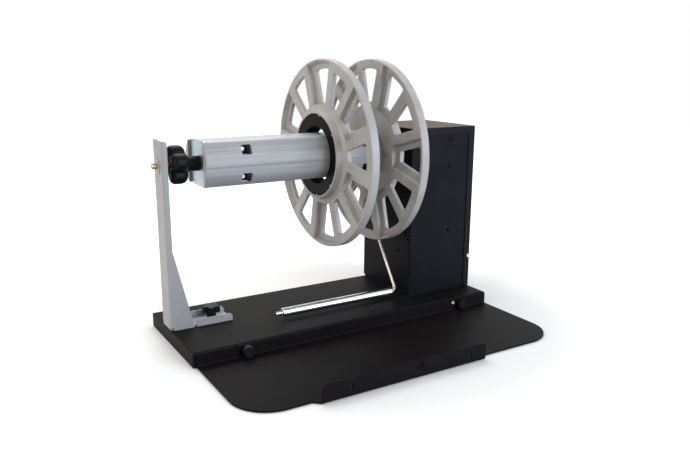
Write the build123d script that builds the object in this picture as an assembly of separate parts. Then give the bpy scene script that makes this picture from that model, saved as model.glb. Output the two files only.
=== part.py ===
from build123d import *
from math import cos, radians, sin, tan
import os

# Tabletop label rewinder with a hand crank. Millimetres, +X along the spindle from the
# support column to the tower, +Y to the back, +Z up.
# The pieces are drawn from the base tray's front left corner on the table, and each is
# moved at the end so that the origin is under the middle of the whole object.

# Base tray and the docking plate in front of it
BASE_LENGTH = 448.0
BASE_DEPTH = 159.0
BASE_TOP = 19.5
FOOT_LIFT = 1.0
SHEET = 1.5
PLATE_SHEET = 2.0
PLATE_LEFT = 4.0
PLATE_RIGHT = 447.0
PLATE_FRONT = -145.0
PLATE_CORNER = 46.0
PLATE_FLANGE_TOP = 18.0
PLATE_NOTCH_X = (52.7, 211.5)
PLATE_SCREW_X = 386.5
PLATE_SCREW_Z = 13.2
LIP_LEFT = 86.5
LIP_RIGHT = 312.0
LIP_FACE = -153.0
LIP_TOP = 22.5
LIP_SLOT_X = (122.0, 287.5)
THUMB_X = (66.5, 399.0)
THUMB_Z = 11.0
THUMB_R = 2.0

# Tower
TOWER_LEFT = 336.3
TOWER_RIGHT = 448.0
TOWER_FRONT = 37.8
TOWER_BACK = 157.6
TOWER_TOP = 260.5
LAP = 1.2
LAP_BAND = 10.0
STRIP_WIDTH = 11.0
STRIP_SCREW_X = 444.2
STRIP_SCREW_Z = 66.6
STRIP_NOTCH_Z = (45.0, 63.0)
BRACKET_X = 405.0
BRACKET_Z = (243.8, 205.0)
SPARE_HOLE_Z = 110.7
BRACKET_WEB_X = 398.0

# Spindle and core holder
AXIS_Y = 96.0
AXIS_Z = 226.0
PIN_TIP = -8.0
PIN_R = 3.5
SHAFT_R = 6.0
SHAFT_END = 462.0
DRAG_X = 411.1
KNOB_LEFT = 13.1
KNOB_RIGHT = 35.0
KNOB_LOBE_R = 10.8
KNOB_LOBE_OUT = 13.2
KNOB_TURN = 18.0
KNOB_STEM_R = 9.4
LEAD_R = 8.0
CORE_R = 38.0
SHELL_WALL = 2.2
SHELL_FLAT = 26.6
SHELL_LEFT = 47.6
FRAME_HALF_Y = 23.8
FRAME_HALF_Z = 27.8
FRAME_WALL = 2.0
END_PLATE_X = 51.2
RIVET_X = 61.0
RIVET_Z = 9.0
PORT_Y = 9.8
PORT_Z = 21.6
BLOCK_LEFT = 94.0
BLOCK_PITCH = 176.0
WEDGE_LENGTH = 25.0
WEDGE_FLAT = 13.5
WEDGE_SEAT = 20.0
WEDGE_RISE = 1 / 3
WEDGE_SCREW_X = 6.8
WEDGE_SCREW_Z = 17.4
PAD_START = 17.0
PAD_FIT = 0.15
RUN_FIT = 0.05

# Flanges
FLANGE_R = 127.0
FLANGE_WIDTH = 11.6
OUTER_FACE = 225.4
INNER_FACE = 301.6
OUTER_HUB_BORE = 42.3
INNER_HUB_BORE = 36.0
OUTER_TURN = 26.0
INNER_TURN = 30.5
HUB_SCREW_R = 47.0
HUB_SCREW_ANGLES = (178, 358)
COLLAR_R = 58.2
COLLAR_HEIGHT = 9.5
INSERT_R = 55.6
POCKET_DEPTH = 6.5
SPOKE_HALF = 1.7
WINDOW_INSET = 11.0

# Support column
COLUMN_HALF = 17.0
COLUMN_TOP = 256.6
COLUMN_SHEET = 2.0
FOOT_END = 82.5
FOOT_KNOB_X = 59.5
COLUMN_TRAVEL = 14.0

# Tension arm
ARM_X = 321.0
ARM_R = 2.4
PIVOT_Y = 128.0
PIVOT_Z = 150.0
PIVOT_R = 4.0
ROLLER_Y = 48.0
ROLLER_Z = 28.5
ROLLER_R = 6.0
ROLLER_LEFT = 139.0
ROLLER_RIGHT = 311.6
ARM_TIP = 130.0

# Crank
CRANK_THROW = 70.0
GRIP_START = 464.0
GRIP_END = 532.0
CRANK_OUT = 537.0


def block(x0, x1, y0, y1, z0, z1):
    """A box between two corners."""
    return Pos((x0 + x1) / 2, (y0 + y1) / 2, (z0 + z1) / 2) * Box(x1 - x0, y1 - y0, z1 - z0)


def rod(x0, x1, radius, y=AXIS_Y, z=AXIS_Z):
    """A round bar along X."""
    return Pos((x0 + x1) / 2, y, z) * Rot(0, 90, 0) * Cylinder(radius, x1 - x0)


def post(z0, z1, radius, x, y):
    """A round bar along Z."""
    return Pos(x, y, (z0 + z1) / 2) * Cylinder(radius, z1 - z0)


def stub(y0, y1, radius, x, z):
    """A round bar along Y."""
    return Pos(x, (y0 + y1) / 2, z) * Rot(90, 0, 0) * Cylinder(radius, y1 - y0)


def turned(profile, y=AXIS_Y, z=AXIS_Z):
    """A lathe part about X, from (x, radius) corners."""
    face = make_face(Polyline(*profile, close=True))
    return Pos(0, y, z) * revolve(face, Axis.X, 360)


def across(x):
    """A sketch plane square to the spindle at x, with u to the back and v up."""
    return Plane(origin=(x, AXIS_Y, AXIS_Z), x_dir=(0, 1, 0), z_dir=(1, 0, 0))


def around(u, v, angle):
    """A point of a spindle cross-section turned about the axis."""
    c = cos(radians(angle))
    s = sin(radians(angle))
    return u * c - v * s, u * s + v * c


def pan_screw(x, y, z, length, radius=2.0):
    """A pan head screw whose head stands on the plane x and whose shank runs to +X."""
    wide = 1.85 * radius
    head = turned(((x - 2.2, 0), (x - 2.2, radius), (x - 1.4, wide), (x, wide), (x, 0)), y, z)
    slot = block(x - 2.3, x - 1.2, y - 2 * radius, y + 2 * radius, z - 0.4, z + 0.4)
    return head - slot + rod(x, x + length, radius, y, z)


def front_screw(x, z, face, length, radius=2.0):
    """A pan head screw driven to +Y, with its head on the plane y = face."""
    head = stub(face - 1.8, face, 1.85 * radius, x, z)
    head = chamfer(head.edges().filter_by(GeomType.CIRCLE).group_by(Axis.Y)[0], 0.6)
    slot = block(x - 2 * radius, x + 2 * radius, face - 1.9, face - 1.1, z - 0.4, z + 0.4)
    return head - slot + stub(face, face + length, radius, x, z)


# ---------------------------------------------------------------- base and docking plate

def base_tray():
    """Folded steel tray, open below, with feet flanges and a relief slit at each corner."""
    outer = block(0, BASE_LENGTH, 0, BASE_DEPTH, FOOT_LIFT, BASE_TOP)
    outer = fillet(outer.edges().group_by(Axis.Z)[-1], 2.2)
    inner = block(SHEET, BASE_LENGTH - SHEET, SHEET, BASE_DEPTH - SHEET, FOOT_LIFT - 1, BASE_TOP - SHEET)
    inner = fillet(inner.edges().group_by(Axis.Z)[-1], 0.7)
    tray = outer - inner
    for y in (SHEET, BASE_DEPTH - SHEET - 13):
        tray += block(SHEET, BASE_LENGTH - SHEET, y, y + 13, FOOT_LIFT, FOOT_LIFT + SHEET)
    for x in (0, BASE_LENGTH - SHEET - 0.9):
        for y in (SHEET, BASE_DEPTH - SHEET - 0.9):
            tray -= block(x - 0.1, x + SHEET + 1.0, y, y + 0.9, FOOT_LIFT - 1, BASE_TOP - 4.0)
    for x in THUMB_X:
        tray -= stub(-1, SHEET + 1, 4.0, x, THUMB_Z)
    tray -= stub(-1, SHEET + 1, 1.5, PLATE_SCREW_X, PLATE_SCREW_Z)
    tray -= post(BASE_TOP - 3, BASE_TOP + 1, 4.5, FOOT_KNOB_X, AXIS_Y)
    for x, y in tower_screw_places():
        tray -= post(BASE_TOP - 3, BASE_TOP + 1, 2.0, x, y)
    return tray


def tower_screw_places():
    """Where the tower's bottom flanges are screwed down to the tray."""
    left = TOWER_LEFT + 18
    right = TOWER_RIGHT - 22
    return [(x, y) for x in (left, right) for y in (TOWER_FRONT + 8, TOWER_BACK - 8)]


def rubber_feet():
    """Thin rubber pads: six under the tray's flanges and three under the docking plate."""
    pads = []
    for x in (40, BASE_LENGTH / 2, BASE_LENGTH - 40):
        for y in (PLATE_FRONT + 22, SHEET + 6.5, BASE_DEPTH - SHEET - 6.5):
            pads.append(post(0, FOOT_LIFT, 5.5, x, y))
    return pads


def docking_lip():
    """Front lip, folded up from the tongue, with two slots and a triangle that marks the middle."""
    low = FOOT_LIFT
    middle = Pos((LIP_LEFT + LIP_RIGHT) / 2, (low + LIP_TOP) / 2)
    outline = middle * Rectangle(LIP_RIGHT - LIP_LEFT, LIP_TOP - low)
    outline = fillet(outline.vertices().group_by(Axis.Y)[-1], 8.0)
    triangle = make_face(Polyline((206.9, 8.4), (222.3, 8.4), (214.6, LIP_TOP - 2.0), close=True))
    slots = [Pos(x, 11.6) * Rot(0, 0, 90) * SlotOverall(10.2, 4.4) for x in LIP_SLOT_X]
    outline -= [triangle] + slots
    face = Plane(origin=(0, LIP_FACE + PLATE_SHEET, 0), x_dir=(1, 0, 0), z_dir=(0, -1, 0))
    return extrude(face * outline, amount=PLATE_SHEET)


def docking_plate():
    """Sheet the printer stands on: rear flange screwed to the tray, front lip on a tongue."""
    low = FOOT_LIFT
    high = FOOT_LIFT + PLATE_SHEET
    flat = block(PLATE_LEFT, PLATE_RIGHT, PLATE_FRONT, 0, low, high)
    flat = fillet(flat.edges().filter_by(Axis.Z).group_by(Axis.Y)[0], PLATE_CORNER)
    reach = PLATE_FRONT - LIP_FACE
    tongue = make_face(Polyline(
        (LIP_LEFT - reach, PLATE_FRONT), (LIP_LEFT, LIP_FACE), (LIP_RIGHT, LIP_FACE), (LIP_RIGHT, PLATE_FRONT),
        close=True))
    flat += extrude(Plane.XY.offset(low) * tongue, amount=PLATE_SHEET)
    rear = block(PLATE_LEFT, PLATE_RIGHT, -PLATE_SHEET, 0, low, PLATE_FLANGE_TOP)
    for x in PLATE_NOTCH_X:
        rear -= block(x - 2.5, x + 2.5, -PLATE_SHEET - 1, 1, PLATE_FLANGE_TOP - 3, PLATE_FLANGE_TOP + 1)
    sheet = flat + rear + docking_lip()
    inside = sheet.edges().filter_by(Axis.X).filter_by_position(Axis.Z, high - 0.01, high + 0.01)
    sheet = fillet(inside.filter_by_position(Axis.Y, -PLATE_SHEET - 0.01, -PLATE_SHEET + 0.01), 1.5)
    low_front = sheet.edges().filter_by(Axis.X).filter_by_position(Axis.Z, low - 0.01, low + 0.01)
    sheet = fillet(low_front.filter_by_position(Axis.Y, LIP_FACE - 0.01, LIP_FACE + 0.01), 1.7)
    for x in THUMB_X:
        sheet -= stub(-PLATE_SHEET - 1, 1, THUMB_R + 0.6, x, THUMB_Z)
    sheet -= stub(-PLATE_SHEET - 1, 1, 1.5, PLATE_SCREW_X, PLATE_SCREW_Z)
    return sheet


def tray_inserts():
    """Threaded inserts in the tray: two for the thumb screws and one for the clamp knob."""
    foot = post(11.0, BASE_TOP, 4.5, FOOT_KNOB_X, AXIS_Y)
    foot += post(BASE_TOP - SHEET - 1.5, BASE_TOP - SHEET, 7.0, FOOT_KNOB_X, AXIS_Y)
    inserts = [foot - post(10, BASE_TOP + 1, 3.0 + RUN_FIT, FOOT_KNOB_X, AXIS_Y)]
    for x in THUMB_X:
        insert = stub(0, 9, 4.0, x, THUMB_Z) + stub(SHEET, SHEET + 1, 5.5, x, THUMB_Z)
        inserts.append(insert - stub(-1, 10, THUMB_R + RUN_FIT, x, THUMB_Z))
    return inserts


def thumb_screw(x):
    """Fluted plastic head on a threaded stud."""
    head = Circle(6.9) - [Pos(*around(7.6, 0, 30 * i)) * Circle(1.3) for i in range(12)]
    face = Plane(origin=(x, -PLATE_SHEET - 0.1, THUMB_Z), x_dir=(1, 0, 0), z_dir=(0, -1, 0))
    cap = extrude(face.offset(1.6) * head, amount=8.2)
    neck = stub(-PLATE_SHEET - 1.8, -PLATE_SHEET - 0.1, 4.6, x, THUMB_Z)
    dish = stub(-PLATE_SHEET - 10.1, -PLATE_SHEET - 9.1, 4.2, x, THUMB_Z)
    return cap + neck - dish + stub(-PLATE_SHEET - 0.1, 10.5, THUMB_R, x, THUMB_Z)


# ---------------------------------------------------------------- tower

def tower_housing():
    """Folded steel channel: left wall, front and back walls, and flanges to the tray."""
    floor = BASE_TOP
    right = TOWER_RIGHT - 2.0
    top = TOWER_TOP - SHEET
    walls = block(TOWER_LEFT, right, TOWER_FRONT, TOWER_BACK, floor, top)
    walls = fillet(walls.edges().filter_by(Axis.Z).group_by(Axis.X)[0], 2.0)
    hollow = block(TOWER_LEFT + SHEET, right + 1, TOWER_FRONT + SHEET, TOWER_BACK - SHEET, floor - 1, top + 1)
    channel = walls - hollow
    for y in (TOWER_FRONT + SHEET, TOWER_BACK - SHEET - 13):
        channel += block(TOWER_LEFT + 6, right - 6, y, y + 13, floor, floor + SHEET)
    channel += block(TOWER_LEFT + SHEET, TOWER_LEFT + 14, TOWER_FRONT + 6, TOWER_BACK - 6, top - SHEET, top)
    for x, y in tower_screw_places():
        channel -= post(floor - 1, floor + SHEET + 1, 2.0, x, y)
    for y, z in ((65.3, 82.7), (47.1, 109.6), (41.8, 103.7), (146.6, 81.5)):
        channel -= rod(TOWER_LEFT - 1, TOWER_LEFT + SHEET + 1, 2.0, y, z)
    channel -= rod(TOWER_LEFT - 1, TOWER_LEFT + SHEET + 1, 8.0)
    channel -= rod(TOWER_LEFT - 1, TOWER_LEFT + SHEET + 1, 6.0, PIVOT_Y, PIVOT_Z)
    for y, z in housing_screw_places():
        channel -= rod(TOWER_LEFT - 1, TOWER_LEFT + SHEET + 1, 1.5, y, z)
    for z in BRACKET_Z:
        channel -= stub(TOWER_FRONT - 1, TOWER_FRONT + SHEET + 1, 2.0, BRACKET_X, z)
    channel -= stub(TOWER_FRONT - 1, TOWER_FRONT + SHEET + 1, 2.3, BRACKET_X, SPARE_HOLE_Z)
    channel -= block(TOWER_LEFT - 1, TOWER_LEFT + 6, TOWER_BACK - 5, TOWER_BACK + 1, floor - 1, floor + 4)
    for y in (TOWER_FRONT, TOWER_BACK - SHEET):
        channel -= stub(y - 1, y + SHEET + 1, 1.5, STRIP_SCREW_X, STRIP_SCREW_Z)
    return channel


def tower_cover():
    """Removable cover: top and right side in one folded sheet, lapping over the housing."""
    front = TOWER_FRONT - LAP
    back = TOWER_BACK + LAP
    shell = block(TOWER_LEFT - 0.4, TOWER_RIGHT, front, back, BASE_TOP + 0.3, TOWER_TOP)
    shell = fillet(shell.edges().filter_by(Axis.X).group_by(Axis.Z)[-1], 1.6)
    shell = fillet(shell.edges().group_by(Axis.X)[-1].filter_by(Axis.Z), 1.4)
    inside = block(TOWER_LEFT - 2, TOWER_RIGHT - SHEET, TOWER_FRONT, TOWER_BACK, BASE_TOP - 1, TOWER_TOP - SHEET)
    shell -= inside
    open_low = block(TOWER_LEFT - 2, TOWER_RIGHT - STRIP_WIDTH, front - 1, back + 1, BASE_TOP - 1, TOWER_TOP - LAP_BAND)
    shell -= open_low
    for y0, y1 in ((front - 1, TOWER_FRONT + 0.5), (TOWER_BACK - 0.5, back + 1)):
        x0 = TOWER_RIGHT - STRIP_WIDTH - 1
        shell -= block(x0, x0 + 2.8, y0, y1, *STRIP_NOTCH_Z)
    shell -= rod(TOWER_RIGHT - 3, TOWER_RIGHT + 1, 8.5)
    shell -= stub(front - 1, TOWER_FRONT + 1, 1.5, STRIP_SCREW_X, STRIP_SCREW_Z)
    shell -= stub(TOWER_BACK - 1, back + 1, 1.5, STRIP_SCREW_X, STRIP_SCREW_Z)
    return shell


def panel_screws():
    """Small screws: one through each side strip of the cover, one through the docking plate."""
    front = front_screw(STRIP_SCREW_X, STRIP_SCREW_Z, TOWER_FRONT - LAP, 6.0, 1.5)
    middle = (TOWER_FRONT + TOWER_BACK) / 2
    back = mirror(front, Plane.XZ.offset(-middle))
    return [front, back, front_screw(PLATE_SCREW_X, PLATE_SCREW_Z, -PLATE_SHEET, 7.0, 1.5)]


def tower_screws():
    """Screws from inside the tray up into the tower's flanges, with their nuts."""
    out = []
    for x, y in tower_screw_places():
        screw = post(BASE_TOP - SHEET, BASE_TOP + 5, 2.0, x, y)
        screw += post(BASE_TOP - SHEET - 2.2, BASE_TOP - SHEET, 3.8, x, y)
        nut = Pos(x, y, BASE_TOP + SHEET + 1.5) * extrude(RegularPolygon(3.9, 6), amount=1.5, both=True)
        out += [screw, nut - post(BASE_TOP, BASE_TOP + 8, 2.0, x, y)]
    return out


def bracket_screws():
    """Two button head screws that hold the bearing bracket to the front wall."""
    screws = []
    for z in BRACKET_Z:
        head = stub(TOWER_FRONT - 1.3, TOWER_FRONT, 3.9, BRACKET_X, z)
        head = chamfer(head.edges().filter_by(GeomType.CIRCLE).group_by(Axis.Y)[0], 0.9)
        socket = stub(TOWER_FRONT - 2, TOWER_FRONT - 0.4, 1.5, BRACKET_X, z)
        screws.append(head - socket + stub(TOWER_FRONT, TOWER_FRONT + 7, 2.0, BRACKET_X, z))
    return screws


def housing_screw_places():
    """Three screw places around the spindle for the left bearing housing."""
    places = []
    for i in range(3):
        u, v = around(18.0, 0, 90 + 120 * i)
        places.append((AXIS_Y + u, AXIS_Z + v))
    return places


def bearing_housing(x, way):
    """Flanged cup; its flange lies on the plane x and its cup points along way."""
    cup = turned((
        (x, 7.5), (x, 22.0), (x + 3 * way, 22.0), (x + 3 * way, 16.0),
        (x + 11 * way, 16.0), (x + 11 * way, 12.0), (x + 4 * way, 12.0), (x + 4 * way, 7.5),
    ))
    for y, z in housing_screw_places():
        cup -= rod(x - 5, x + 5, 1.5, y, z)
    return cup


def bearing(x0):
    """Ball bearing 12 x 24 x 6, drawn with its shields closed."""
    bore = SHAFT_R + 0.03
    return turned((
        (x0, bore), (x0, 7.6), (x0 + 0.5, 7.9), (x0 + 0.5, 10.2), (x0, 10.5), (x0, 12.0),
        (x0 + 6, 12.0), (x0 + 6, 10.5), (x0 + 5.5, 10.2), (x0 + 5.5, 7.9), (x0 + 6, 7.6), (x0 + 6, bore),
    ))


def bearing_bracket():
    """Folded bracket: a tab on the front wall and a web square to the spindle."""
    x0 = BRACKET_WEB_X
    y0 = TOWER_FRONT + SHEET
    web = block(x0, x0 + 2, y0, AXIS_Y + 26, AXIS_Z - 28, TOWER_TOP - 9)
    web = fillet(web.edges().filter_by(Axis.X).group_by(Axis.Y)[-1], 10.0)
    tab = block(x0, x0 + 17, y0, y0 + 2, AXIS_Z - 28, TOWER_TOP - 9)
    bracket = web + tab - rod(x0 - 1, x0 + 3, 8.0)
    for y, z in housing_screw_places():
        bracket -= rod(x0 - 1, x0 + 3, 1.5, y, z)
    for z in BRACKET_Z:
        bracket -= stub(y0 - 1, y0 + 3, 2.0, BRACKET_X, z)
    return bracket


def housing_screws():
    """Screws of the two bearing housings."""
    screws = []
    for y, z in housing_screw_places():
        screws.append(pan_screw(TOWER_LEFT, y, z, 4.5, 1.5))
        screws.append(pan_screw(BRACKET_WEB_X, y, z, 5.0, 1.5))
    return screws


# ---------------------------------------------------------------- spindle

def spindle_shaft():
    """Steel shaft: chamfered pin at the column, shoulder inside the core holder, tapped end."""
    shaft = turned((
        (PIN_TIP, 0), (PIN_TIP, PIN_R - 1.2), (PIN_TIP + 1.2, PIN_R), (150, PIN_R), (150, SHAFT_R),
        (SHAFT_END - 0.8, SHAFT_R), (SHAFT_END, SHAFT_R - 0.8), (SHAFT_END, 0),
    ))
    return shaft - rod(SHAFT_END - 14, SHAFT_END + 1, 3.0)


def drive_hub():
    """Turned aluminium hub: boss in the inner flange, disc in its collar, neck to the tower."""
    disc = INNER_FACE + FLANGE_WIDTH + 1.0
    boss = INNER_HUB_BORE
    hub = turned((
        (INNER_FACE, SHAFT_R), (INNER_FACE, boss), (disc, boss), (disc, INSERT_R), (disc + 7, INSERT_R),
        (disc + 7.6, INSERT_R - 0.6), (disc + 7.6, 14.0), (disc + 17, 14.0), (disc + 17, SHAFT_R),
    ))
    for angle in HUB_SCREW_ANGLES:
        u, v = around(HUB_SCREW_R, 0, angle)
        hub -= rod(disc - 1, disc + 9, 2.0, AXIS_Y + u, AXIS_Z + v)
    for u, v in port_places():
        hub -= rod(INNER_FACE - 1, disc + 9, 2.0, AXIS_Y + u, AXIS_Z + v)
    return hub - post(AXIS_Z, AXIS_Z + 15, 2.0, disc + 12.5, AXIS_Y)


def hub_set_screw():
    """Grub screw that holds the hub to the shaft."""
    x = INNER_FACE + FLANGE_WIDTH + 13.5
    screw = post(AXIS_Z + SHAFT_R, AXIS_Z + 13.4, 2.0, x, AXIS_Y)
    return screw - post(AXIS_Z + 11.5, AXIS_Z + 15, 1.0, x, AXIS_Y)


def sector(inset, near, far):
    """One of twelve sectors of a flange, drawn in by inset from its edges."""
    def half(r):
        return r * tan(radians(15)) - inset / cos(radians(15))
    wide = far + 5
    wedge = make_face(Polyline((near, half(near)), (near, -half(near)), (wide, -half(wide)), (wide, half(wide)),
                               close=True))
    return wedge & Circle(far)


def flange_moulding(bore):
    """Spoked flange about X: rim plane and collar at x = 0, other rim plane at FLANGE_WIDTH.

    The twelve sectors are sunk from the two sides in turn, with drafted walls, and each has a window.
    """
    flange = turned((
        (FLANGE_WIDTH, bore), (FLANGE_WIDTH, FLANGE_R - 0.8), (FLANGE_WIDTH - 0.8, FLANGE_R), (0.8, FLANGE_R),
        (0, FLANGE_R - 0.8), (0, 66.0), (-2.2, 61.5), (-COLLAR_HEIGHT, COLLAR_R), (-COLLAR_HEIGHT, INSERT_R),
        (-1.0, INSERT_R), (-1.0, bore),
    ))
    window = fillet(sector(WINDOW_INSET, 69.0, 114.5).vertices(), 3.5)
    for i in range(12):
        turn = Rot(0, 0, 30 * i)
        on_collar_side = i % 2 == 0
        near = 67.0 if on_collar_side else 60.0
        mouth_x = 0 if on_collar_side else FLANGE_WIDTH
        floor_x = POCKET_DEPTH if on_collar_side else FLANGE_WIDTH - POCKET_DEPTH
        mouth = across(mouth_x) * turn * sector(SPOKE_HALF, near, FLANGE_R - 2.5)
        floor = across(floor_x) * turn * sector(SPOKE_HALF + 1.6, near + 1.6, FLANGE_R - 6.5)
        flange -= loft([mouth, floor], ruled=True)
        flange -= extrude(across(-1) * turn * window, amount=FLANGE_WIDTH + 2)
    return flange


def insert_tabs(grow=0.0):
    """Three pairs of small snap tabs that reach over the insert's edge from the collar."""
    tabs = []
    for third in (0, 120, 240):
        for angle in (third - 22, third + 22):
            outline = Rot(0, 0, 98 + angle) * Pos(INSERT_R - 0.9, 0) * Rectangle(2.2 + 2 * grow, 2.2 + 2 * grow)
            tabs.append(extrude(across(-COLLAR_HEIGHT) * outline, amount=3.2 + grow))
    return tabs


def on_spindle(solid, x, angle):
    """The solid turned about the spindle's axis and moved along it."""
    return Pos(x, AXIS_Y, AXIS_Z) * Rot(angle, 0, 0) * Pos(0, -AXIS_Y, -AXIS_Z) * solid


def outer_flange():
    """Sliding flange, collar and insert to the left."""
    moulding = flange_moulding(OUTER_HUB_BORE) + insert_tabs()
    return on_spindle(moulding, OUTER_FACE, OUTER_TURN)


def outer_flange_insert():
    """Black ring in the collar, with a sleeve through the hub that slides on the core holder."""
    bore = CORE_R + 0.35
    sleeve = OUTER_HUB_BORE
    ring = turned((
        (FLANGE_WIDTH, bore), (FLANGE_WIDTH, sleeve), (-1.0, sleeve), (-1.0, INSERT_R), (-7.6, INSERT_R),
        (-8.4, INSERT_R - 0.8), (-8.4, bore + 0.8), (-7.6, bore),
    ))
    return on_spindle(ring - insert_tabs(0.15), OUTER_FACE, OUTER_TURN)


def inner_flange():
    """The same moulding turned round, collar to the tower, screwed to the drive hub."""
    turned_round = mirror(flange_moulding(INNER_HUB_BORE), Plane.YZ)
    flange = on_spindle(turned_round, INNER_FACE + FLANGE_WIDTH, INNER_TURN)
    for angle in HUB_SCREW_ANGLES:
        u, v = around(HUB_SCREW_R, 0, angle)
        flange -= rod(INNER_FACE - 1, INNER_FACE + FLANGE_WIDTH + 2, 2.0, AXIS_Y + u, AXIS_Z + v)
    return flange


def inner_flange_screws():
    """Two screws through the inner flange's hub into the drive hub."""
    screws = []
    for angle in HUB_SCREW_ANGLES:
        u, v = around(HUB_SCREW_R, 0, angle)
        screws.append(pan_screw(INNER_FACE, AXIS_Y + u, AXIS_Z + v, FLANGE_WIDTH + 6.0))
    return screws


# ---------------------------------------------------------------- expanding core holder

def port_places():
    """Screw ports of the core holder's frame, from the axis."""
    return [(u, v) for u in (-PORT_Y, PORT_Y) for v in (-PORT_Z, PORT_Z)]


def core_frame():
    """Extruded box between the shells, with screw ports and windows for the wedges."""
    x0 = END_PLATE_X + 2
    outline = RectangleRounded(2 * FRAME_HALF_Y, 2 * FRAME_HALF_Z, 2.5)
    outline -= RectangleRounded(2 * (FRAME_HALF_Y - FRAME_WALL), 2 * (FRAME_HALF_Z - FRAME_WALL), 1.2)
    for u, v in port_places():
        outline += Pos(u, v) * Circle(4.3)
        outline -= Pos(u, v) * Circle(2.0)
    frame = extrude(across(x0) * outline, amount=INNER_FACE - x0)
    for shift in (0, BLOCK_PITCH):
        x = BLOCK_LEFT + shift
        frame -= block(x - 3, x + 29, 0, 2 * AXIS_Y, AXIS_Z - 22.3, AXIS_Z + 22.3) - block(
            x - 4, x + 30, AXIS_Y - 20, AXIS_Y + 20, AXIS_Z - 24, AXIS_Z + 24)
    for z in (AXIS_Z - RIVET_Z, AXIS_Z + RIVET_Z):
        frame -= stub(AXIS_Y - CORE_R, AXIS_Y + CORE_R, 2.0, RIVET_X, z)
    return frame


def end_plate():
    """Zinc plated end plate between the shells' ends, with a tab folded inside each side of the frame."""
    outline = RectangleRounded(50.4, 58.0, 8.0) - Circle(LEAD_R + 0.3)
    plate = extrude(across(END_PLATE_X) * outline, amount=2.0)
    inner = FRAME_HALF_Y - FRAME_WALL
    for y in (AXIS_Y - inner, AXIS_Y + inner - 1.5):
        tab = block(END_PLATE_X + 1, RIVET_X + 7, y, y + 1.5, AXIS_Z - 15, AXIS_Z + 15)
        plate += fillet(tab.edges().filter_by(Axis.Y).group_by(Axis.X)[-1], 4.0)
    for z in (AXIS_Z - RIVET_Z, AXIS_Z + RIVET_Z):
        plate -= stub(AXIS_Y - CORE_R, AXIS_Y + CORE_R, 2.0, RIVET_X, z)
    return plate


def front_rivets():
    """Two rivets that hold the end plate's front tab in the frame, with a head on each side."""
    outside = AXIS_Y - FRAME_HALF_Y
    inside = outside + FRAME_WALL + 1.5
    rivets = []
    for z in (AXIS_Z - RIVET_Z, AXIS_Z + RIVET_Z):
        head = stub(outside - 1.1, outside, 3.4, RIVET_X, z)
        head = fillet(head.edges().filter_by(GeomType.CIRCLE).group_by(Axis.Y)[0], 0.8)
        rivets.append(head + stub(outside, inside, 2.0, RIVET_X, z) + stub(inside, inside + 0.9, 3.0, RIVET_X, z))
    return rivets


def frame_screws():
    """Four long screws from the drive hub into the frame's ports."""
    head_face = INNER_FACE + FLANGE_WIDTH + 8.6
    screws = []
    for u, v in port_places():
        screw = mirror(pan_screw(0, AXIS_Y + u, AXIS_Z + v, 35.0), Plane.YZ)
        screws.append(Pos(head_face, 0, 0) * screw)
    return screws


def shell_profile():
    """Closed D of the front shell: a round outside, a flat inside and fine grooves along it."""
    def in_front_of(reach, radius):
        return Circle(radius) & (Pos(-reach - CORE_R, 0) * Rectangle(2 * CORE_R, 3 * CORE_R))
    outside = in_front_of(SHELL_FLAT, CORE_R)
    for angle in (182.6, 184.4, 158.0, 153.5):
        outside -= Rot(0, 0, angle) * Pos(CORE_R, 0) * Rectangle(1.0, 0.6)
    return outside, in_front_of(SHELL_FLAT + 2.0, CORE_R - SHELL_WALL)


def front_shell():
    """Ribbed aluminium shell of the front side, closed at its left end, with its access windows."""
    outside, hollow = shell_profile()
    length = INNER_FACE - 0.6 - SHELL_LEFT
    shell = extrude(across(SHELL_LEFT) * outside, amount=length)
    shell -= extrude(across(SHELL_LEFT + 2.5) * hollow, amount=length)
    for shift in (0, BLOCK_PITCH):
        for z in (AXIS_Z - WEDGE_SCREW_Z, AXIS_Z + WEDGE_SCREW_Z):
            hole = Pos(BLOCK_LEFT + WEDGE_SCREW_X + 0.7 + shift, z) * RectangleRounded(13.4, 12.0, 2.0)
            side = Plane(origin=(0, AXIS_Y - 20, 0), x_dir=(1, 0, 0), z_dir=(0, -1, 0))
            shell -= extrude(side * hole, amount=25)
    return shell


def wedge_height(x):
    """How far the wedge's face stands from the axis at x from the wedge's left end."""
    return WEDGE_SEAT + max(x - WEDGE_FLAT, 0) * WEDGE_RISE


def ramp_pads():
    """Pads on the front shell's flat that lie on the wedges."""
    pads = []
    for shift in (0, BLOCK_PITCH):
        x0 = BLOCK_LEFT + shift + PAD_START
        x1 = BLOCK_LEFT + shift + WEDGE_LENGTH
        rise0 = wedge_height(PAD_START) + PAD_FIT
        rise1 = wedge_height(WEDGE_LENGTH) + PAD_FIT
        outline = make_face(Polyline(
            (x0, AXIS_Y - rise0), (x1, AXIS_Y - rise1), (x1, AXIS_Y - SHELL_FLAT), (x0, AXIS_Y - SHELL_FLAT),
            close=True))
        pads.append(extrude(Plane.XY.offset(AXIS_Z) * outline, amount=14.0, both=True))
    return pads


def to_the_back(pieces):
    """The same pieces on the other side of the spindle."""
    half_turn = Pos(0, AXIS_Y, AXIS_Z) * Rot(180, 0, 0) * Pos(0, -AXIS_Y, -AXIS_Z)
    return [half_turn * piece for piece in pieces]


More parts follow.
